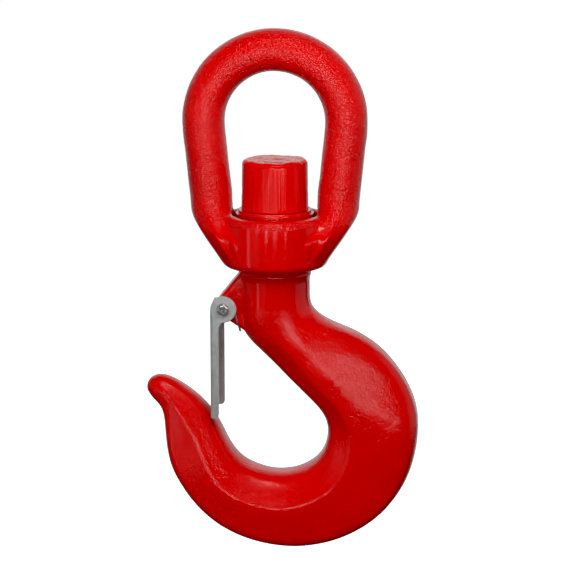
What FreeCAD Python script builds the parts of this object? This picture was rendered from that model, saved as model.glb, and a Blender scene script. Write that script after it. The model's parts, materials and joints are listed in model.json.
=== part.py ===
import FreeCAD, Part

import Sketcher

import math
import os
import re

# Swivel lifting hook: a bail with a round collar, a thrust bearing in the collar, and a hook whose
# shank turns in it under a cap nut. A sprung latch closes the hook's throat.
# Frame: the origin is the bearing point at the top of the bail's eye, on the swivel axis. +Z is up
# along that axis, the hook opens in the XZ plane with its tip towards -X. Millimetres.

V = FreeCAD.Vector
doc = FreeCAD.newDocument("SwivelHook")

# ---------------------------------------------------------------- driving dimensions
DIMENSIONS = {
    # bail
    "eye_radius": 28.8,
    "bar_radius": 12.2,
    "leg_taper_deg": 5.9,
    "collar_radius": 31.0,
    "collar_top": -82.0,
    "collar_bottom": -112.5,
    "collar_top_round": 3.5,
    "collar_bottom_round": 4.5,
    "recess_radius": 25.0,
    "recess_depth": 10.3,
    "spot_face": 3.5,
    "bore_radius": 15.5,
    # swivel stack on the shank, from the recess floor upwards
    "bearing_height": 11.0,
    "race_thick": 3.4,
    "race_bore": 13.8,
    "shaft_race_radius": 22.5,
    "housing_race_radius": 24.9,
    "housing_race_bore": 14.6,
    "ball_radius": 3.2,
    "ball_pitch": 18.4,
    "ball_count": 14,
    "cage_thick": 2.0,
    "cage_radius": 22.2,
    "cage_bore": 14.6,
    "washer_radius": 21.1,
    "washer_thick": 2.0,
    "nut_base_radius": 19.3,
    "nut_top_radius": 18.8,
    "nut_height": 28.8,
    "nut_round": 2.4,
    "nut_blind_depth": 21.0,
    "running_fit": 0.05,
    # hook
    "shank_radius": 13.5,
    "shoulder_gap": 1.0,
    "neck_radius": 20.3,
    "neck_length": 22.0,
    "bead_radius": 21.2,
    "bead_wire": 2.9,
    "lug_half_width": 11.0,
    "lug_end_radius": 5.7,
    "lock_pin_radius": 3.0,
    "lock_pin_length": 35.0,
    "lock_pin_height": 11.0,
    "lock_pin_wall": 1.0,
    "lock_pin_slit": 1.2,
    # latch
    "pin_x": -28.5,
    "pin_z": -135.5,
    "bolt_radius": 2.0,
    "bolt_head_radius": 3.8,
    "bolt_head_height": 2.5,
    "latch_half_width": 17.0,
    "latch_sheet": 1.5,
    "latch_ear_radius": 7.5,
    "latch_nut_ear_radius": 5.4,
    "latch_web_offset": 7.8,
    "latch_flange": 4.9,
    "latch_reach": 65.0,
    "latch_hole_radius": 2.08,
    "latch_bend": 2.2,
    "latch_gusset": 3.0,
    "latch_gusset_length": 9.0,
    "bridge_drop": 18.0,
    "recess_cross_span": 4.4,
    "recess_cross_width": 0.9,
    "recess_cross_depth": 1.5,
    "lock_nut_flats": 7.0,
    "lock_nut_height": 5.0,
    "insert_height": 1.6,
    "insert_radius": 2.9,
    "wire_radius": 0.55,
    "coil_radius": 5.6,
    "coil_drop": 2.4,
    "coil_turns": 2,
}

sheet = doc.addObject("Spreadsheet::Sheet", "Dimensions")
for row, (alias, value) in enumerate(DIMENSIONS.items(), start=1):
    sheet.set(f"A{row}", alias)
    sheet.set(f"B{row}", str(value))
    sheet.setAlias(f"B{row}", alias)
doc.recompute()


def dim(alias):
    """A driving dimension, read from the sheet."""
    return float(getattr(sheet, alias))


def sheet_name(word):
    return f"Dimensions.{word}" if word in DIMENSIONS else word


def bind(thing, **expressions):
    """Binds properties to formulas in which each word is a driving dimension of the sheet."""
    for name, formula in expressions.items():
        bound = re.sub(r"[a-z_]+", lambda word: sheet_name(word.group()), formula)
        thing.setExpression(name.replace("__", "."), bound)
    return thing


def add(kind, name, **expressions):
    """A document object whose sizes are bound to the sheet."""
    return bind(doc.addObject(kind, name), **expressions)


def feature(name, shape):
    """A Part::Feature that holds a shape made with Part's own functions."""
    thing = doc.addObject("Part::Feature", name)
    thing.Shape = shape
    return thing


def cylinder(name, radius, height, z):
    """A vertical cylinder on the swivel axis, from height z upwards."""
    return add("Part::Cylinder", name, Radius=radius, Height=height, Placement__Base__z=z)


def cut(name, base, tool):
    thing = doc.addObject("Part::Cut", name)
    thing.Base = base
    thing.Tool = tool
    return thing


def fuse(name, *shapes):
    thing = doc.addObject("Part::MultiFuse", name)
    thing.Shapes = list(shapes)
    return thing


def fillet(name, base, radius, test):
    """A Part::Fillet on the edges whose centre passes the test."""
    doc.recompute()
    thing = doc.addObject("Part::Fillet", name)
    thing.Base = base
    chosen = [n for n, edge in enumerate(base.Shape.Edges, start=1) if test(edge.CenterOfMass)]
    thing.Edges = [(n, radius, radius) for n in chosen]
    return thing


# ---------------------------------------------------------------- forged bars of changing section
HALF_POLES = 12
# A uniform periodic cubic through poles on a circle runs inside them by this factor.
ROUND_GAIN = 3.0 / (2.0 + math.cos(math.pi / HALF_POLES))


def round_half(depth, half):
    """Half of an elliptical section as (distance from the nose, half thickness) poles."""
    rows = []
    for k in range(HALF_POLES + 1):
        angle = math.pi * k / HALF_POLES
        rows.append((depth / 2 * (1 - ROUND_GAIN * math.cos(angle)), half * ROUND_GAIN * math.sin(angle)))
    return rows


# Crown of a forging's saddle, as shares of its depth and of the half thickness.
SADDLE = ((0.0, 0.0), (0.02, 0.36), (0.17, 0.62), (0.50, 0.78), (0.84, 0.91), (1.0, 1.0))


def forged_half(depth, nose, half, back_half, corner):
    """Half of a forging's section: a crowned saddle, a ridge, a flat flank and a rounded back corner."""
    rise = min(corner, 7.5)
    rows = [(nose * s, half * y) for s, y in SADDLE]
    rows.append((nose + 0.07 * (depth - nose), half - 0.1))
    rows.append((nose + 0.25 * (depth - nose), half - 0.5))
    rows.append((depth - 1.5 * corner, back_half))
    rows.append((depth - 0.25 * corner, back_half - min(corner**2 / 48, 5.5)))
    rows.append((depth, back_half - 1.5 * rise))
    rows.append((depth, 0.35 * (back_half - rise)))
    rows.append((depth, 0.0))
    return rows


def section(nose_point, back_point, half_poles):
    """Closed ring of poles: the half section on +Y, then its mirror image on -Y."""
    start = V(nose_point[0], 0, nose_point[1])
    along = V(back_point[0], 0, back_point[1]) - start
    along.normalize()
    ring = [start + along * s + V(0, y, 0) for s, y in half_poles]
    return ring + [V(p.x, -p.y, p.z) for p in reversed(ring[1:-1])]


def mix(first, second, share):
    """Blends two half sections, share 0 giving the first and 1 the second."""
    return [tuple(a + (b - a) * share for a, b in zip(p, q)) for p, q in zip(first, second)]


def skin(rings):
    """A closed solid whose surface runs smoothly through the rings of section poles."""
    count = len(rings[0])
    spans = [0.0]
    for last, ring in zip(rings, rings[1:]):
        step = sum((a - b).Length for a, b in zip(ring, last)) / count
        spans.append(spans[-1] + step)
    columns = []
    for k in range(count):
        curve = Part.BSplineCurve()
        curve.interpolate(Points=[ring[k] for ring in rings], Parameters=spans)
        columns.append(curve)
    poles = [list(row) for row in zip(*[curve.getPoles() for curve in columns])]
    surface = Part.BSplineSurface()
    surface.buildFromPolesMultsKnots(
        poles,
        columns[0].getMultiplicities(),
        [1] * (count + 1),
        columns[0].getKnots(),
        [float(k) for k in range(count + 1)],
        False,
        True,
        3,
        3,
    )
    side = surface.toShape()
    faces = [side]
    for edge in side.Edges:
        if edge.isClosed() and not edge.Degenerated and not edge.isSeam(side):
            faces.append(Part.Face(Part.Wire(edge)))
    shell = Part.Shell(faces)
    shell.sewShape()
    solid = Part.Solid(shell)
    if solid.Volume < 0:
        solid.reverse()
    return solid


# ---------------------------------------------------------------- bail
def bail_bow():
    """The bow: both wings, both legs and the crown as one bar of changing section."""
    bar = dim("bar_radius")
    outer = dim("eye_radius") + 2 * bar
    taper = math.radians(dim("leg_taper_deg"))
    centre_z = -dim("eye_radius")

    # Wing stations of the left side: outline point, back point inside the collar, nose depth,
    # half thickness behind the nose and at the back, share of the round section.
    back_x = -14.0
    wing = [
        ((-25.0, -112.5), (back_x, -112.5), 8.0, 17.0, 20.0, 0.0),
        ((-29.2, -110.6), (back_x, -110.6), 9.0, 20.0, 24.0, 0.0),
        ((-32.6, -106.0), (back_x, -106.5), 9.5, 21.2, 25.0, 0.0),
        ((-37.4, -99.0), (back_x, -100.5), 10.0, 21.5, 25.0, 0.0),
        ((-42.3, -91.7), (back_x, -94.5), 10.5, 20.8, 24.5, 0.0),
        ((-46.4, -85.0), (-17.0, -88.0), 11.5, 18.0, 20.0, 0.25),
        ((-48.3, -80.0), (-23.2, -81.5), 12.2, 14.6, 14.6, 0.75),
    ]
    rings = []
    for outline, back, nose, half, back_half, roundness in wing:
        depth = math.dist(outline, back)
        forged = forged_half(depth, nose, half, back_half, 4.0)
        rings.append(section(outline, back, mix(forged, round_half(depth, half), roundness)))

    # The straight leg, then the crown's arc up to the top.
    side = V(-math.cos(taper), 0, -math.sin(taper))
    leg_run = V(math.sin(taper), 0, -math.cos(taper))
    centre = V(0, 0, centre_z)
    path = [(centre + side * outer + leg_run * run, side) for run in (40.0, 30.0, 18.0, 8.0)]
    for step in range(8):
        angle = -taper + (math.pi / 2 + taper) * step / 7
        outward = V(-math.cos(angle), 0, math.sin(angle))
        path.append((centre + outward * outer, outward))
    for edge, outward in path:
        back = edge - outward * (2 * bar)
        rings.append(section((edge.x, edge.z), (back.x, back.z), round_half(2 * bar, bar)))

    mirrored = [[V(-p.x, p.y, p.z) for p in ring] for ring in reversed(rings[:-1])]
    return skin(rings + mirrored)


RECESS_FLOOR = "collar_top - recess_depth"
bow = feature("BailBow", bail_bow())
collar = cylinder("Collar", "collar_radius", "collar_top - collar_bottom", "collar_bottom")
collar = fillet("CollarTop", collar, dim("collar_top_round"), lambda c: c.z > dim("collar_top") - 1)
collar = fillet(
    "CollarBottom", collar, dim("collar_bottom_round"), lambda c: c.z < dim("collar_bottom") + 1
)
bore = cylinder("CollarBore", "bore_radius", "collar_top - collar_bottom", "collar_bottom")
recess = cylinder("BearingRecess", "recess_radius", "recess_depth + spot_face", RECESS_FLOOR)
bail = cut("Bail", fuse("BailBlank", bow, collar), fuse("CollarHollow", bore, recess))


# ---------------------------------------------------------------- swivel bearing, washer and nut
def new_body(name, **placement):
    return add("PartDesign::Body", name, **placement)


def flat_sketch(body, name):
    """A sketch on the body's own XY plane."""
    sketch = body.newObject("Sketcher::SketchObject", name)
    plane = next(f for f in body.Origin.OriginFeatures if f.Role == "XY_Plane")
    sketch.AttachmentSupport = [(plane, "")]
    sketch.MapMode = "FlatFace"
    return sketch


def sketch_circle(sketch, radius, x="0"):
    """A circle centred on the sketch's X axis, with its radius and place bound to the sheet."""
    number = sketch.addGeometry(Part.Circle(V(5, 0, 0), V(0, 0, 1), 1))
    fixed = Sketcher.Constraint
    if x == "0":
        sketch.addConstraint(fixed("Coincident", number, 3, -1, 1))
    else:
        sketch.addConstraint(fixed("PointOnObject", number, 3, -1))
        across = sketch.addConstraint(fixed("DistanceX", -1, 1, number, 3, 5))
        bind(sketch, **{f"Constraints[{across}]": x})
    size = sketch.addConstraint(fixed("Radius", number, 1))
    bind(sketch, **{f"Constraints[{size}]": radius})


def ring(name, outer, inner, height, z):
    """A flat ring on the swivel axis, from height z upwards."""
    body = new_body(name, Placement__Base__z=z)
    sketch = flat_sketch(body, name + "Sketch")
    sketch_circle(sketch, outer)
    sketch_circle(sketch, inner)
    pad = body.newObject("PartDesign::Pad", name + "Pad")
    pad.Profile = sketch
    bind(pad, Length=height)
    return body


BEARING_MIDDLE = f"{RECESS_FLOOR} + bearing_height / 2"
housing_ring = ring(
    "HousingRing", "housing_race_radius", "housing_race_bore", "race_thick", RECESS_FLOOR
)
shaft_ring = ring(
    "ShaftRing",
    "shaft_race_radius",
    "race_bore",
    "race_thick",
    f"{RECESS_FLOOR} + bearing_height - race_thick",
)
races = {}
for name, blank in (("HousingRace", housing_ring), ("ShaftRace", shaft_ring)):
    groove = add(
        "Part::Torus",
        name + "Groove",
        Radius1="ball_pitch",
        Radius2="ball_radius + running_fit",
        Placement__Base__z=BEARING_MIDDLE,
    )
    races[name] = cut(name, blank, groove)

cage = ring(
    "Cage", "cage_radius", "cage_bore", "cage_thick", f"{BEARING_MIDDLE} - cage_thick / 2"
)
doc.recompute()
pocket_sketch = flat_sketch(cage, "CagePocketSketch")
sketch_circle(pocket_sketch, "ball_radius + running_fit", "ball_pitch")
pocket = cage.newObject("PartDesign::Pocket", "CagePocket")
pocket.Profile = pocket_sketch
pocket.Type = "ThroughAll"
pocket.Midplane = True
pockets = cage.newObject("PartDesign::PolarPattern", "CagePockets")
pockets.Originals = [pocket]
pockets.Axis = (pocket_sketch, ["N_Axis"])
pockets.Angle = 360
pockets.Occurrences = int(dim("ball_count"))
cage.Tip = pockets

balls = []
for number in range(int(dim("ball_count"))):
    turn = f"360 * {number} / ball_count"
    balls.append(
        add(
            "Part::Sphere",
            f"Ball{number + 1}",
            Radius="ball_radius",
            Placement__Base__x=f"ball_pitch * cos( {turn} )",
            Placement__Base__y=f"ball_pitch * sin( {turn} )",
            Placement__Base__z=BEARING_MIDDLE,
        )
    )
ball_set = doc.addObject("Part::Compound", "Balls")
ball_set.Links = balls

WASHER_BASE = f"{RECESS_FLOOR} + bearing_height"
NUT_BASE = f"{WASHER_BASE} + washer_thick"
washer = ring("Washer", "washer_radius", "race_bore", "washer_thick", WASHER_BASE)
bushing_height = "collar_top - recess_depth - collar_bottom"
bushing = ring("Bushing", "bore_radius", "shank_radius + running_fit", bushing_height, "collar_bottom")

nut_blank = add(
    "Part::Cone",
    "NutBlank",
    Radius1="nut_base_radius",
    Radius2="nut_top_radius",
    Height="nut_height",
    Placement__Base__z=NUT_BASE,
)
nut_round = fillet("NutRounded", nut_blank, dim("nut_round"), lambda c: c.z > dim("collar_top") + 20)
nut_thread = cylinder("NutThread", "shank_radius", "nut_blind_depth", NUT_BASE)
lock_hole = add(
    "Part::Cylinder",
    "LockHole",
    Radius="lock_pin_radius",
    Height="2 * nut_base_radius + 2",
    Placement__Base__x="0 - nut_base_radius - 1",
    Placement__Base__z=f"{NUT_BASE} + lock_pin_height",
)
nut = cut("Nut", nut_round, fuse("NutHollow", nut_thread, lock_hole))

lock_blank = add(
    "Part::Cylinder",
    "LockPinBlank",
    Radius="lock_pin_radius",
    Height="lock_pin_length",
    Placement__Base__x="0 - lock_pin_length / 2",
    Placement__Base__z=f"{NUT_BASE} + lock_pin_height",
)
lock_core = add(
    "Part::Cylinder",
    "LockPinCore",
    Radius="lock_pin_radius - lock_pin_wall",
    Height="lock_pin_length",
    Placement__Base__x="0 - lock_pin_length / 2",
    Placement__Base__z=f"{NUT_BASE} + lock_pin_height",
)
for thing in (lock_hole, lock_blank, lock_core):
    thing.Placement.Rotation = FreeCAD.Rotation(V(0, 1, 0), 90)
lock_slit = add(
    "Part::Box",
    "LockPinSlit",
    Length="lock_pin_length",
    Width="lock_pin_slit",
    Height="lock_pin_radius + 1",
    Placement__Base__x="0 - lock_pin_length / 2",
    Placement__Base__y="0 - lock_pin_slit / 2",
    Placement__Base__z=f"{NUT_BASE} + lock_pin_height",
)
lock_pin = cut("LockPin", lock_blank, fuse("LockPinHollow", lock_core, lock_slit))


# ---------------------------------------------------------------- hook forging
FLANK_DRAFT = 0.9


def hook_blade():
    """The hook from its tip round the bowl and up to the neck, as one bar of changing section."""
    # Stations: point on the inner outline, point on the outer outline, half thickness,
    # nose depth of the inner side, outer corner radius, share of the round section.
    stations = [
        ((-73.7, -181.3), (-74.9, -188.6), 4.8, 3.0, 1.8, 1.0),
        ((-69.3, -178.9), (-72.3, -192.4), 7.8, 6.5, 3.0, 0.9),
        ((-61.3, -180.2), (-67.6, -197.6), 10.0, 8.5, 4.0, 0.5),
        ((-51.0, -186.4), (-65.0, -206.5), 12.2, 11.0, 4.6, 0.15),
        ((-41.5, -194.6), (-63.8, -217.5), 14.5, 13.5, 5.0, 0.0),
        ((-33.6, -205.2), (-61.5, -229.6), 16.8, 14.5, 5.5, 0.0),
        ((-28.0, -216.5), (-55.8, -241.7), 19.0, 16.0, 6.0, 0.0),
        ((-20.3, -227.4), (-44.2, -256.8), 20.5, 17.0, 6.0, 0.0),
        ((-8.0, -233.9), (-23.3, -271.6), 21.0, 17.5, 6.0, 0.0),
        ((4.5, -235.5), (8.0, -278.9), 21.0, 17.5, 6.0, 0.0),
        ((17.0, -232.3), (38.5, -273.6), 21.0, 17.0, 6.0, 0.0),
        ((26.6, -224.4), (64.3, -256.6), 21.0, 16.0, 6.0, 0.0),
        ((30.8, -212.5), (80.0, -231.2), 21.0, 15.0, 8.0, 0.0),
        ((28.5, -199.5), (83.8, -204.6), 21.0, 14.0, 12.0, 0.0),
        ((17.0, -186.4), (77.9, -182.8), 21.0, 14.0, 19.0, 0.0),
        ((4.0, -173.6), (63.8, -163.2), 21.0, 14.0, 21.0, 0.1),
        ((-8.0, -161.8), (46.5, -151.0), 20.8, 14.0, 19.0, 0.3),
        ((-17.0, -152.4), (32.2, -144.7), 20.6, 14.0, 15.0, 0.65),
        ((-20.5, -141.0), (22.3, -137.0), 20.5, 14.0, 12.0, 0.95),
        ((-20.3, -130.0), (20.3, -129.0), 20.3, 14.0, 12.0, 1.0),
        ((-20.3, -121.0), (20.3, -121.0), 20.3, 14.0, 12.0, 1.0),
    ]
    apex = V(-75.2, 0, -185.3)
    rings = [[apex] * (2 * HALF_POLES)]
    for inner, outer, half, nose, corner, roundness in stations:
        depth = math.dist(inner, outer)
        forged = forged_half(depth, nose, half, half * FLANK_DRAFT, corner)
        rings.append(section(inner, outer, mix(forged, round_half(depth, half), roundness)))
    return skin(rings)


blade = feature("HookBlade", hook_blade())
SHOULDER = "collar_bottom - shoulder_gap"
neck = cylinder("Neck", "neck_radius", "neck_length", f"{SHOULDER} - neck_length")
neck = fillet("NeckShoulder", neck, 1.5, lambda c: c.z > dim("collar_bottom") - 5)
bead = add(
    "Part::Torus",
    "NeckBead",
    Radius1="bead_radius - bead_wire",
    Radius2="bead_wire",
    Placement__Base__z=f"{SHOULDER} - bead_wire",
)
shank = cylinder(
    "Shank", "shank_radius", f"{NUT_BASE} + nut_blind_depth - ( {SHOULDER} ) + 5", f"{SHOULDER} - 5"
)


def lug_outline():
    """The latch lug seen from the side: two straight edges tangent to a round end at the pin."""
    pin = V(dim("pin_x"), 0, dim("pin_z"))
    end = dim("lug_end_radius")
    upper = pin + V(-math.cos(math.radians(39.5)), 0, math.sin(math.radians(39.5))) * end
    lower = pin + V(-math.cos(math.radians(55)), 0, -math.sin(math.radians(55))) * end
    upper_root = V(-19.8, 0, -115.6)
    lower_root = V(-16.0, 0, -150.2)
    inside = [V(-10, 0, -146), V(-10, 0, -116)]
    edges = [
        Part.LineSegment(upper_root, upper).toShape(),
        Part.Arc(upper, pin - V(end, 0, 0), lower).toShape(),
        Part.makePolygon([lower, lower_root, *inside, upper_root]),
    ]
    return Part.Wire([edge for shape in edges for edge in shape.Edges])


half = dim("lug_half_width")
lug_shape = Part.Face(lug_outline()).extrude(V(0, 2 * half, 0))
lug_shape.translate(V(0, -half, 0))
lug = feature("LugPlate", lug_shape)
lug = fillet("Lug", lug, 2.0, lambda c: abs(c.y) > dim("lug_half_width") - 0.1 and c.x < -12)


def pin_rod(name, radius, length, start, x="pin_x", z="pin_z"):
    """A rod along +Y on the latch pivot, from y = start."""
    rod = add(
        "Part::Cylinder",
        name,
        Radius=radius,
        Height=length,
        Placement__Base__x=x,
        Placement__Base__y=start,
        Placement__Base__z=z,
    )
    rod.Placement.Rotation = FreeCAD.Rotation(V(1, 0, 0), -90)
    return rod


lug_bore = pin_rod(
    "LugBore", "bolt_radius + running_fit", "2 * lug_half_width + 2", "0 - lug_half_width - 1"
)
cross_hole = add(
    "Part::Cylinder",
    "ShankCrossHole",
    Radius="lock_pin_radius",
    Height="2 * shank_radius + 2",
    Placement__Base__x="0 - shank_radius - 1",
    Placement__Base__z=f"{NUT_BASE} + lock_pin_height",
)
cross_hole.Placement.Rotation = FreeCAD.Rotation(V(0, 1, 0), 90)
hook_blank = fuse("HookBlank", blade, neck, bead, shank, lug)
hook = cut("Hook", hook_blank, fuse("HookHoles", lug_bore, cross_hole))


# ---------------------------------------------------------------- latch, its spring and its bolt
def slab(name, length, width, height, x, y, z):
    """A box with its sizes and its lowest corner bound to the sheet."""
    return add(
        "Part::Box",
        name,
        Length=length,
        Width=width,
        Height=height,
        Placement__Base__x=x,
        Placement__Base__y=y,
        Placement__Base__z=z,
    )


LATCH_WIDTH = "2 * latch_half_width"
LATCH_SIDE = "0 - latch_half_width"
WEB_X = "pin_x - latch_web_offset"
LATCH_FOOT = "pin_z - latch_reach"
head_ear = pin_rod("LatchHeadEar", "latch_ear_radius", "latch_half_width", LATCH_SIDE)
nut_ear = pin_rod("LatchNutEar", "latch_nut_ear_radius", "latch_half_width", "0")
strip = slab(
    "LatchStrip", "latch_flange", LATCH_WIDTH, "latch_reach", WEB_X, LATCH_SIDE, LATCH_FOOT
)
gusset = slab(
    "LatchGusset",
    "latch_gusset",
    LATCH_WIDTH,
    "latch_gusset_length",
    f"{WEB_X} + latch_flange",
    LATCH_SIDE,
    "pin_z - latch_gusset_length - latch_ear_radius / 2",
)
gusset_curve = pin_rod(
    "LatchGussetCurve",
    "latch_gusset_length",
    f"{LATCH_WIDTH} + 2",
    f"{LATCH_SIDE} - 1",
    f"{WEB_X} + latch_flange + latch_gusset_length",
    "pin_z - latch_gusset_length - latch_ear_radius / 2 - 1",
)
bent_strip = fillet(
    "LatchBend",
    strip,
    dim("latch_bend"),
    lambda c: c.x < dim("pin_x") - dim("latch_web_offset") + 0.1 and abs(c.y) > 1,
)
bent_strip = fillet(
    "LatchFoot",
    bent_strip,
    2.4,
    lambda c: c.x > dim("pin_x") - 3.0 and c.z < dim("pin_z") - dim("latch_reach") + 0.1,
)
taper = cut("LatchGussetTaper", gusset, gusset_curve)
latch_solid = fuse("LatchSolid", head_ear, nut_ear, bent_strip, taper)
hollow = slab(
    "LatchHollow",
    "4 * latch_web_offset",
    f"{LATCH_WIDTH} - 2 * latch_sheet",
    "2 * latch_reach",
    f"{WEB_X} + latch_sheet",
    f"{LATCH_SIDE} + latch_sheet",
    "pin_z - 1.5 * latch_reach",
)
latch_holes = pin_rod("LatchHoles", "latch_hole_radius", f"{LATCH_WIDTH} + 2", f"{LATCH_SIDE} - 1")
latch = cut("Latch", latch_solid, fuse("LatchVoids", hollow, latch_holes))


WIRE_POLES = 8


def wire_tube(points, radius):
    """A round wire whose axis runs smoothly through the points."""
    count = len(points)
    rings = []
    side = V(0, 1, 0)
    for number, point in enumerate(points):
        ahead = points[min(number + 1, count - 1)] - points[max(number - 1, 0)]
        ahead.normalize()
        side = side - ahead * side.dot(ahead)
        side.normalize()
        across = ahead.cross(side)
        ring_points = []
        for k in range(WIRE_POLES):
            angle = 2 * math.pi * k / WIRE_POLES
            gain = radius * 3 / (2 + math.cos(2 * math.pi / WIRE_POLES))
            ring_points.append(point + side * (gain * math.cos(angle)) + across * (gain * math.sin(angle)))
        rings.append(ring_points)
    return skin(rings)


def half_spring():
    """Axis of the spring's half on -Y: foot under the hook, coil round the bolt, bridge on the latch."""
    wire = dim("wire_radius")
    coil = dim("coil_radius")
    turns = int(dim("coil_turns"))
    eye = V(dim("pin_x"), 0, dim("pin_z") - dim("coil_drop"))
    inner_y = -dim("lug_half_width") - 1.6 * wire
    web = dim("pin_x") - dim("latch_web_offset") + dim("latch_sheet") + 1.6 * wire
    leave = math.radians(20)
    meet = math.radians(180)
    foot = [(-19.9, 4.0, -149.2), (-19.3, 1.4, -149.2), (-19.3, 0.0, -148.2), (-20.7, 0.0, -144.3)]
    points = [V(x, inner_y + y, z) for x, y, z in foot]
    sweep = 2 * math.pi * turns + (meet - leave)
    steps = 12 * turns
    rise = 2.12 * wire * (turns + (meet - leave) / (2 * math.pi))
    for step in range(steps + 1):
        share = step / steps
        angle = leave + sweep * share
        y = inner_y - rise * share
        points.append(eye + V(coil * math.cos(angle), y, coil * math.sin(angle)))
    last_y = points[-1].y
    drop = dim("pin_z") - dim("bridge_drop")
    points.append(V(web, last_y, drop + 5))
    points.append(V(web, last_y + 0.4, drop + 1.2))
    points.append(V(web, last_y + 1.6, drop))
    points.append(V(web, -6, drop))
    return points


left_half = half_spring()
right_half = [V(p.x, -p.y, p.z) for p in reversed(left_half)]
spring = feature("LatchSpring", wire_tube(left_half + right_half, dim("wire_radius")))

# The bolt: a pan head on -Y, its rod through the ears and the lug, a nut with a nylon ring on +Y.
head = pin_rod("BoltHeadBlank", "bolt_head_radius", "bolt_head_height", f"{LATCH_SIDE} - bolt_head_height")
head = fillet("BoltHead", head, 1.5, lambda c: c.y < -dim("latch_half_width") - 1)
rod = pin_rod("BoltRod", "bolt_radius", f"{LATCH_WIDTH} + lock_nut_height + 1.5", f"{LATCH_SIDE} - 0.5")
slots = [
    slab(
        f"BoltSlot{number}",
        length,
        "recess_cross_depth",
        height,
        f"pin_x - ( {length} ) / 2",
        f"{LATCH_SIDE} - bolt_head_height - 0.1",
        f"pin_z - ( {height} ) / 2",
    )
    for number, (length, height) in enumerate(
        (("recess_cross_span", "recess_cross_width"), ("recess_cross_width", "recess_cross_span")),
        start=1,
    )
]
bolt = cut("Bolt", fuse("BoltBlank", head, rod), fuse("BoltRecess", *slots))


def hex_body(name, flats, height, start):
    """A hexagonal prism along +Y on the latch pivot."""
    prism = add(
        "Part::Prism",
        name,
        Circumradius=f"{flats} / sqrt( 3 )",
        Height=height,
        Placement__Base__x="pin_x",
        Placement__Base__y=start,
        Placement__Base__z="pin_z",
    )
    prism.Polygon = 6
    prism.Placement.Rotation = FreeCAD.Rotation(V(1, 0, 0), -90)
    return prism


nut_hex = hex_body("LockNutHex", "lock_nut_flats", "lock_nut_height", "latch_half_width")
nut_cone = pin_rod("LockNutRound", "lock_nut_flats / 2 + 0.42", "lock_nut_height", "latch_half_width")
nut_cone = fillet("LockNutDome", nut_cone, 1.2, lambda c: c.y > dim("latch_half_width") + 3)
nut_core = doc.addObject("Part::Common", "LockNutBlank")
nut_core.Base = nut_hex
nut_core.Tool = nut_cone
INSERT_START = "latch_half_width + lock_nut_height - insert_height - 0.4"
nut_bore = pin_rod("LockNutBore", "bolt_radius", "lock_nut_height + 2", "latch_half_width - 1")
insert_seat = pin_rod("InsertSeat", "insert_radius", "insert_height", INSERT_START)
lock_nut = cut("LockNut", nut_core, fuse("LockNutHollow", nut_bore, insert_seat))
insert_blank = pin_rod("InsertBlank", "insert_radius", "insert_height", INSERT_START)
insert_bore = pin_rod("InsertBore", "bolt_radius", "insert_height + 2", f"{INSERT_START} - 1")
insert = cut("Insert", insert_blank, insert_bore)

# ---------------------------------------------------------------- the nodes
NODES = {
    "bail_forging": bail,
    "collar_bushing": bushing,
    "bearing_housing_race": races["HousingRace"],
    "bearing_shaft_race": races["ShaftRace"],
    "bearing_cage": cage,
    "bearing_balls": ball_set,
    "thrust_washer": washer,
    "swivel_nut": nut,
    "nut_lock_pin": lock_pin,
    "hook_forging": hook,
    "latch_plate": latch,
    "latch_spring": spring,
    "latch_bolt": bolt,
    "latch_lock_nut": lock_nut,
    "lock_nut_insert": insert,
}

doc.recompute()
for thing in doc.Objects:
    if "Invalid" in thing.State or "Error" in thing.State:
        raise RuntimeError(f"{thing.Name} failed: {thing.State}")

os.makedirs("parts", exist_ok=True)
for label, thing in NODES.items():
    thing.Label = label
    shape = thing.Shape
    if shape.isNull() or not shape.isValid() or not shape.Solids:
        raise RuntimeError(f"{label} has no valid solid")
    shape.exportStep(f"parts/{label}.step")
    print(f"{label}: {len(shape.Solids)} solid(s), {shape.Volume / 1000:.2f} cm3")
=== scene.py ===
import json
import math

import bpy
import bmesh
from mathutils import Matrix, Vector
from mathutils.bvhtree import BVHTree
from mathutils.noise import noise as wave


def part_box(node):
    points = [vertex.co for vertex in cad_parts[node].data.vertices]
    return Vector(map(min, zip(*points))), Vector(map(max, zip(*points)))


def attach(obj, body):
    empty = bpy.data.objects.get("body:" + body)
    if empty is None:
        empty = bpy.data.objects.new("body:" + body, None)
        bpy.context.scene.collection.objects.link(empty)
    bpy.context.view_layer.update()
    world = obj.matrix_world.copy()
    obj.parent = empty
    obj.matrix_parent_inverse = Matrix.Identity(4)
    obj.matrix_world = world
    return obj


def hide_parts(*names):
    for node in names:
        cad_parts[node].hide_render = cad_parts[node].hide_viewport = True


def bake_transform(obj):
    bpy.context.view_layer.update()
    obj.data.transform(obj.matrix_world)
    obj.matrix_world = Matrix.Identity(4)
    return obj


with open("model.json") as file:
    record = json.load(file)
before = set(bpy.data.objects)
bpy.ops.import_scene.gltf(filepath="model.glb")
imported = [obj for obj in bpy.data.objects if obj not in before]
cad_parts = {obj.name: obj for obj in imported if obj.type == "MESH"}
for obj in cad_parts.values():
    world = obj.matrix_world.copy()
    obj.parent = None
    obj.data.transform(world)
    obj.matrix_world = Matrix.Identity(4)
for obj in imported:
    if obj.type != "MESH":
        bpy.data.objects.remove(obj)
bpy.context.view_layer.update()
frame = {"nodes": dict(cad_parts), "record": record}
nodes = frame["nodes"]
SLOTS = {entry["node"]: entry["material_slot"] for entry in frame["record"]["subparts"]}
BODIES = {
    node: body for body, members in frame["record"]["behaviour"]["bodies"].items() for node in members
}


def new_object(name, data):
    """An object that holds the given data, linked to the scene."""
    made = bpy.data.objects.new(name, data)
    bpy.context.scene.collection.objects.link(made)
    return made


# ---------------------------------------------------------------- materials
NOISE_LOW, NOISE_HIGH = 0.30, 0.70  # nearly all of a noise texture lies between these


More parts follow.
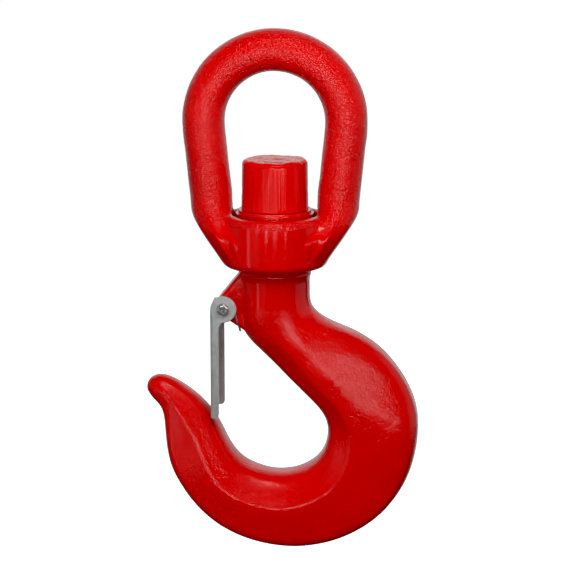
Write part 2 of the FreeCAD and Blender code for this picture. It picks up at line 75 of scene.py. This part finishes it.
def set_inputs(tree, node, inputs):
    """Links each socket given, and sets each plain value, on the node's input of that name."""
    for key, value in inputs.items():
        socket = node.inputs[key.replace("_", " ")]
        if isinstance(value, bpy.types.NodeSocket):
            tree.links.new(value, socket)
        else:
            socket.default_value = value


def new_material(name):
    """A node material, a helper that adds nodes to it, and one that sets its shader's inputs."""
    material = bpy.data.materials.new(name)
    material.use_nodes = True
    tree = material.node_tree

    def add(kind, **inputs):
        node = tree.nodes.new(kind)
        set_inputs(tree, node, inputs)
        return node

    def finish(**inputs):
        set_inputs(tree, tree.nodes["Principled BSDF"], inputs)

    return material, add, finish


def noise(add, where, scale, detail=3.0, roughness=0.5):
    """A noise of the given scale, in features per metre."""
    node = add("ShaderNodeTexNoise", Vector=where, Scale=scale, Detail=detail, Roughness=roughness)
    return node.outputs["Fac"]


def spread(add, value, to_low, to_high, low=NOISE_LOW, high=NOISE_HIGH):
    """The value's range low to high, mapped to another range and clamped."""
    node = add(
        "ShaderNodeMapRange", Value=value, From_Min=low, From_Max=high, To_Min=to_low, To_Max=to_high
    )
    return node.outputs["Result"]


def two_tones(add, value, dark, light):
    """A colour that goes from dark to light over a noise's range."""
    node = add("ShaderNodeValToRGB", Fac=value)
    stops = ((NOISE_LOW, dark), (NOISE_HIGH, light))
    for element, (position, colour) in zip(node.color_ramp.elements, stops):
        element.position = position
        element.color = (*colour, 1.0)
    return node.outputs["Color"]


def relief(add, height, distance, strength, **under):
    """The normal of a relief so many metres high; Normal= gives the surface under it."""
    node = add("ShaderNodeBump", Height=height, Distance=distance, Strength=strength, **under)
    return node.outputs["Normal"]


def enamel(name, peel_height, smoothest, roughest, waviness, coat, runs=0.0):
    """Gloss red enamel: slow waves of the forging, upright paint runs, orange peel and dust specks."""
    material, add, finish = new_material(name)
    where = add("ShaderNodeTexCoord").outputs["Object"]
    upright = add("ShaderNodeMapping", Vector=where, Scale=(1.0, 1.0, 0.04)).outputs["Vector"]
    patches = noise(add, where, 28.0, 4.0, 0.6)
    gloss = noise(add, where, 160.0)
    waves = noise(add, where, 150.0, 2.0)
    sags = noise(add, upright, 330.0, 1.0)
    peel = noise(add, where, 700.0, 2.0, 0.6)
    specks = spread(add, noise(add, where, 1300.0, 0.0), 0.0, 1.0, low=0.64, high=0.74)
    swollen = relief(add, waves, 0.0012, waviness)
    sagged = relief(add, sags, 0.0005, runs, Normal=swollen)
    peeled = relief(add, peel, peel_height, 0.8, Normal=sagged)
    dusty = relief(add, specks, peel_height / 3, 0.8, Normal=peeled)
    finish(
        Base_Color=two_tones(add, patches, (0.62, 0.0008, 0.0010), (0.72, 0.0012, 0.0014)),
        Roughness=spread(add, gloss, smoothest, roughest),
        Normal=peeled,
        Specular_IOR_Level=0.20,
        Coat_Weight=coat,
        Coat_Roughness=0.08,
        Coat_Normal=dusty,
    )
    return material


def plated(name, dark, light, roughness, grain, metallic=1.0, grain_strength=0.25):
    """Plated or ground metal: cloudy tone and fine grain."""
    material, add, finish = new_material(name)
    where = add("ShaderNodeTexCoord").outputs["Object"]
    clouds = noise(add, where, 140.0, 4.0, 0.6)
    fine = noise(add, where, grain, 4.0, 0.6)
    finish(
        Base_Color=two_tones(add, clouds, dark, light),
        Roughness=spread(add, fine, roughness - 0.07, roughness + 0.09),
        Normal=relief(add, fine, 0.00008, grain_strength),
        Metallic=metallic,
    )
    return material


def moulded(name, dark, light):
    """Moulded plastic with a faint grain."""
    material, add, finish = new_material(name)
    where = add("ShaderNodeTexCoord").outputs["Object"]
    grain = noise(add, where, 900.0)
    finish(
        Base_Color=two_tones(add, grain, dark, light),
        Roughness=0.45,
        Normal=relief(add, grain, 0.0001, 0.2),
    )
    return material


materials = {
    "red_enamel": enamel(
        "red_enamel", peel_height=0.00028, smoothest=0.13, roughest=0.22, waviness=0.20, coat=0.8
    ),
    "grainy_enamel": enamel(
        "grainy_enamel", peel_height=0.0009, smoothest=0.12, roughest=0.22, waviness=0.35, coat=1.0
    ),
    "turned_enamel": enamel(
        "turned_enamel", peel_height=0.00003, smoothest=0.10, roughest=0.15, waviness=0.06, coat=0.6
    ),
    "sagged_enamel": enamel(
        "sagged_enamel",
        peel_height=0.00005, smoothest=0.10, roughest=0.15, waviness=0.10, coat=0.15, runs=1.0,
    ),
    "zinc_plate": plated(
        "zinc_plate", (0.58, 0.61, 0.60), (0.76, 0.79, 0.78),
        roughness=0.37, grain=900.0, metallic=0.68, grain_strength=0.06,
    ),
    "zinc_bolt": plated(
        "zinc_bolt", (0.74, 0.74, 0.72), (0.88, 0.88, 0.86), roughness=0.16, grain=1400.0, metallic=0.85
    ),
    "spring_steel": plated(
        "spring_steel", (0.38, 0.38, 0.38), (0.60, 0.60, 0.60), roughness=0.28, grain=2200.0
    ),
    "bearing_steel": plated(
        "bearing_steel", (0.30, 0.30, 0.31), (0.48, 0.48, 0.49), roughness=0.26, grain=1500.0
    ),
    "ball_steel": plated(
        "ball_steel", (0.55, 0.55, 0.56), (0.70, 0.70, 0.72), roughness=0.10, grain=1800.0
    ),
    "cage_steel": plated(
        "cage_steel", (0.28, 0.27, 0.26), (0.42, 0.41, 0.40), roughness=0.36, grain=1200.0
    ),
    "bushing_bronze": plated(
        "bushing_bronze", (0.42, 0.27, 0.12), (0.60, 0.42, 0.20), roughness=0.34, grain=1300.0
    ),
    "nylon": moulded("nylon", (0.02, 0.05, 0.20), (0.04, 0.09, 0.32)),
}
for name, node in nodes.items():
    node.data.materials.clear()
    node.data.materials.append(materials[SLOTS[name]])


# ---------------------------------------------------------------- red forgings
COARSE = 1.0
SLOW_WAVES, QUICK_WAVES = 95.0, 240.0  # waves of a forged face, per metre
COLLAR_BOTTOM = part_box("bail_forging")[0].z
COLLAR_RIM = -0.0865  # the collar is turned from its rim down
RECESS_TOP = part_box("bearing_shaft_race")[1].z
RECESS_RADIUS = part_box("bearing_housing_race")[1].x + 0.0013
NECK_FOOT = -0.1350
NECK_RADIUS = 0.0214
SHANK_FOOT = COLLAR_BOTTOM - 0.0007
NUT_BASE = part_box("swivel_nut")[0].z
NUT_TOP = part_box("swivel_nut")[1].z
NUT_BORE_RADIUS = 0.0150
NUT_CROWN = 0.004
FORGED_SKIN = 0.00012  # heights of the waves, in metres
COLLAR_SKIN = 0.000015
NECK_SKIN = 0.00004
NUT_SKIN = 0.00006
NUT_SAG = 0.00055


def copy_of(name, piece_name):
    """A free copy of a CAD node's mesh."""
    return new_object(piece_name, nodes[name].data.copy())


def freeze(piece):
    """Replaces the piece's mesh with what its modifiers make of it."""
    depsgraph = bpy.context.evaluated_depsgraph_get()
    mesh = bpy.data.meshes.new_from_object(piece.evaluated_get(depsgraph))
    piece.modifiers.clear()
    piece.data = mesh


def shade(piece, material):
    """Gives the whole piece one material and smooth shading."""
    piece.data.materials.clear()
    piece.data.materials.append(material)
    for face in piece.data.polygons:
        face.use_smooth = True
        face.material_index = 0


def remeshed(name, piece_name, voxel, rounds):
    """A copy of a CAD node in small even faces, with its creases rolled over by rounds of smoothing."""
    piece = copy_of(name, piece_name)
    remesh = piece.modifiers.new("remesh", "REMESH")
    remesh.mode = "VOXEL"
    remesh.voxel_size = voxel * COARSE
    freeze(piece)
    smooth = piece.modifiers.new("smooth", "SMOOTH")
    smooth.factor = 0.5
    smooth.iterations = round(rounds / COARSE**2)
    freeze(piece)
    return piece


def forging(name, piece_name, voxel, rounds, keep, depth, turned, finishes):
    """A forging's skin: the CAD shape with rolled creases and gently uneven faces.

    keep(point) is 1 where the CAD surface is held, depth(point) is the height of the waves there,
    and turned(point) is true where the surface was turned before painting: it has the second finish.
    """
    source = nodes[name].data
    surface = BVHTree.FromPolygons(
        [vertex.co.copy() for vertex in source.vertices],
        [tuple(face.vertices) for face in source.polygons],
    )
    piece = remeshed(name, piece_name, voxel, rounds)
    normals = [vertex.normal.copy() for vertex in piece.data.vertices]
    for vertex, normal in zip(piece.data.vertices, normals):
        share = keep(vertex.co)
        if share > 0:
            vertex.co = vertex.co.lerp(surface.find_nearest(vertex.co)[0], share)
        if share < 1:
            lift = wave(vertex.co * SLOW_WAVES) + 0.4 * wave(vertex.co * QUICK_WAVES)
            vertex.co += normal * (lift * depth(vertex.co) * (1 - share))
    shade(piece, materials[finishes[0]])
    piece.data.materials.append(materials[finishes[1]])
    for face in piece.data.polygons:
        face.material_index = 1 if turned(face.center) else 0
    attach(piece, BODIES[name])
    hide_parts(name)


def radius(p):
    """The point's distance from the swivel axis."""
    return math.hypot(p.x, p.y)


def fade(value, width):
    """0 up to zero, 1 from the width on, and even in between."""
    return max(0.0, min(1.0, value / width))


def inside_collar(p):
    """1 on the fitted faces inside the collar, falling to 0 outside them."""
    if not COLLAR_BOTTOM - 0.001 < p.z < RECESS_TOP:
        return 0.0
    return fade(RECESS_RADIUS - radius(p), 0.0008)


def on_collar(p):
    """True on the turned collar, and on the feet of the wings beside it."""
    return p.z < COLLAR_RIM


def bail_waves(p):
    """The bow and wings are as forged, and the collar is nearly true."""
    return COLLAR_SKIN if on_collar(p) else FORGED_SKIN


def on_shank(p):
    """1 on the hook's shank, above the shoulder that turns under the collar."""
    return fade(p.z - SHANK_FOOT, 0.0006)


def on_neck(p):
    """True on the turned neck and shank."""
    return p.z > NECK_FOOT and radius(p) < NECK_RADIUS


def hook_waves(p):
    """The hook is as forged, and its neck is nearly true."""
    return NECK_SKIN if on_neck(p) else FORGED_SKIN


def inside_nut(p):
    """1 in the nut's blind hole and on its base, 0 on the outside."""
    in_bore = radius(p) < NUT_BORE_RADIUS and p.z < NUT_TOP - NUT_CROWN
    return 1.0 if in_bore or p.z < NUT_BASE + 0.0006 else 0.0


def nut_waves(p):
    """The paint has pooled and sagged on the nut's top, and its side is nearly true."""
    return NUT_SKIN + NUT_SAG * fade(p.z - NUT_TOP + 0.0035, 0.003)


forging(
    "bail_forging", "bail_skin",
    voxel=0.00080, rounds=8, keep=inside_collar, depth=bail_waves, turned=on_collar,
    finishes=("grainy_enamel", "turned_enamel"),
)
forging(
    "hook_forging", "hook_skin",
    voxel=0.00092, rounds=4, keep=on_shank, depth=hook_waves, turned=on_neck,
    finishes=("red_enamel", "turned_enamel"),
)
forging(
    "swivel_nut", "nut_skin",
    voxel=0.00050, rounds=6, keep=inside_nut, depth=nut_waves, turned=lambda p: True,
    finishes=("red_enamel", "sagged_enamel"),
)


# ---------------------------------------------------------------- spring and worn edges
# The wire is a free copy of the CAD spring with its placement baked in; it is attached to no body and
# is not bent.
spring = copy_of("latch_spring", "latch_spring_wire")
shade(spring, materials["spring_steel"])
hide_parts("latch_spring")
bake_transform(spring)

EDGE_WIDTHS = {
    "thrust_washer": 0.0004,
    "bearing_shaft_race": 0.0004,
    "latch_plate": 0.0005,
    "latch_bolt": 0.00025,
    "latch_lock_nut": 0.0002,
}
for name, width in EDGE_WIDTHS.items():
    bevel = nodes[name].modifiers.new("worn_edge", "BEVEL")
    bevel.width = width
    bevel.segments = 3
    bevel.limit_method = "ANGLE"
    bevel.angle_limit = math.radians(35)
    bevel.harden_normals = True


# ---------------------------------------------------------------- studio light
MIDDLE = Vector((0.0, 0.0, -0.12))  # of the object
LATCH_FOOT = Vector((-0.04, 0.0, -0.20))
NARROW = 72  # a beam's width in degrees


def direction(azimuth, elevation):
    """A unit vector from the object; azimuth 0 is its front, 90 its right, and elevation is upwards."""
    a, e = math.radians(azimuth), math.radians(elevation)
    return Vector((math.sin(a) * math.cos(e), -math.cos(a) * math.cos(e), math.sin(e)))


def around(azimuth, elevation, distance):
    """A point seen in that direction from the object's middle."""
    return MIDDLE + distance * direction(azimuth, elevation)


def box_light(name, place, target, size, power, mirrored=True, beam=180):
    """A rectangular studio light at place, facing target. Unmirrored, it isn't reflected."""
    light = bpy.data.lights.new(name, "AREA")
    light.shape = "RECTANGLE"
    light.size, light.size_y = size
    light.energy = power
    light.spread = math.radians(beam)
    lamp = new_object(name, light)
    lamp.location = place
    lamp.rotation_euler = (Vector(target) - Vector(place)).to_track_quat("-Z", "Y").to_euler()
    lamp.visible_glossy = mirrored
    lamp.visible_camera = False


# A diffuser close in front of the bail with upright tubes before it, all aimed upwards at the bail.
box_light("diffuser", (-0.08, -0.34, -0.088), (-0.08, 0.0, 0.060), (0.44, 0.105), 0.020, beam=NARROW)
TUBE_DEPTH, TUBE_HEIGHT, TUBE_LENGTH, TUBE_AIM = -0.32, -0.085, 0.125, 0.055
TUBES = (  # place across, width, power
    (-0.20, 0.05, 0.006),
    (-0.072, 0.022, 0.007),
    (0.024, 0.04, 0.0045),
    (0.15, 0.018, 0.013),
    (0.30, 0.05, 0.008),
)
for across, width, power in TUBES:
    place, target = (across, TUBE_DEPTH, TUBE_HEIGHT), (across / 2, 0.0, TUBE_AIM)
    box_light(f"tube_{across}", place, target, (width, TUBE_LENGTH), power, beam=NARROW)
# A thin tube for the line along the hook's ridge, and one low on the left for the latch.
box_light("ridge_tube", around(5, 4, 1.2), MIDDLE, (1.2, 0.05), 2.0)
box_light("low_tube", (-0.34, -0.26, -0.24), (-0.03, 0.0, -0.17), (0.05, 0.20), 0.0025, beam=60)
# Lights that fill without being reflected, and the box over the object.
box_light("bail_fill", (0.0, -0.38, 0.25), (0.0, 0.0, -0.01), (0.3, 0.3), 0.20, mirrored=False)
box_light("top_box", around(12, 58, 1.40), MIDDLE, (0.35, 0.20), 1.8)
box_light("key", around(10, 45, 1.5), MIDDLE, (1.0, 0.7), 14.5, mirrored=False)
box_light("left_fill", around(-40, -8, 1.2), LATCH_FOOT, (0.6, 0.6), 3.2, mirrored=False)
box_light("right_fill", around(80, 15, 1.8), MIDDLE, (1.8, 1.8), 4.0, mirrored=False)
# The walls of the studio, and a box behind the object for its upper edges.
box_light("left_wall", around(-95, 10, 1.8), MIDDLE, (1.8, 1.6), 1.0)
box_light("right_wall", around(100, 10, 1.8), MIDDLE, (1.8, 1.6), 2.6)
box_light("back_wall", around(180, 10, 1.9), MIDDLE, (3.6, 3.0), 16.0)
box_light("back_box", (0.0, 1.2, 0.20), (0.0, 0.0, -0.05), (0.6, 0.30), 0.20)

world = bpy.data.worlds.new("studio")
bpy.context.scene.world = world
world.use_nodes = True
background = world.node_tree.nodes["Background"]
background.inputs["Color"].default_value = (1.0, 1.0, 1.0, 1.0)
background.inputs["Strength"].default_value = 0.03


# ---------------------------------------------------------------- floor and camera
# A white floor that glows evenly and neither lights the object nor is reflected in it.
FLOOR_RADIUS, FLOOR_HEIGHT = 60.0, -0.52
mesh = bpy.data.meshes.new("floor")
builder = bmesh.new()
bmesh.ops.create_circle(builder, cap_ends=True, segments=96, radius=FLOOR_RADIUS)
builder.to_mesh(mesh)
builder.free()
floor_material, _, finish_floor = new_material("floor")
finish_floor(
    Base_Color=(0.9, 0.9, 0.9, 1.0),
    Roughness=0.9,
    Emission_Color=(1.0, 1.0, 1.0, 1.0),
    Emission_Strength=1.0,
)
mesh.materials.append(floor_material)
floor = new_object("floor", mesh)
floor.location.z = FLOOR_HEIGHT
floor.visible_diffuse = False
floor.visible_glossy = False

AZIMUTH, ELEVATION, DISTANCE = 4.5, 12.0, 1.276
AIM_HEIGHT, SIDE_STEP = -0.126, 0.00754
FOCAL_LENGTH, SENSOR = 137.5, 36.0  # millimetres
back = direction(AZIMUTH, ELEVATION)
right = direction(AZIMUTH + 90, 0)
lens = bpy.data.cameras.new("camera")
lens.lens = FOCAL_LENGTH
lens.sensor_width = SENSOR
camera = new_object("camera", lens)
camera.location = Vector((0.0, 0.0, AIM_HEIGHT)) + right * SIDE_STEP + back * DISTANCE
camera.rotation_euler = back.to_track_quat("Z", "Y").to_euler()
bpy.context.scene.camera = camera

view = bpy.context.scene.view_settings
view.view_transform = "Standard"
view.use_curve_mapping = True
view.curve_mapping.black_level = (0.005, 0.005, 0.005)
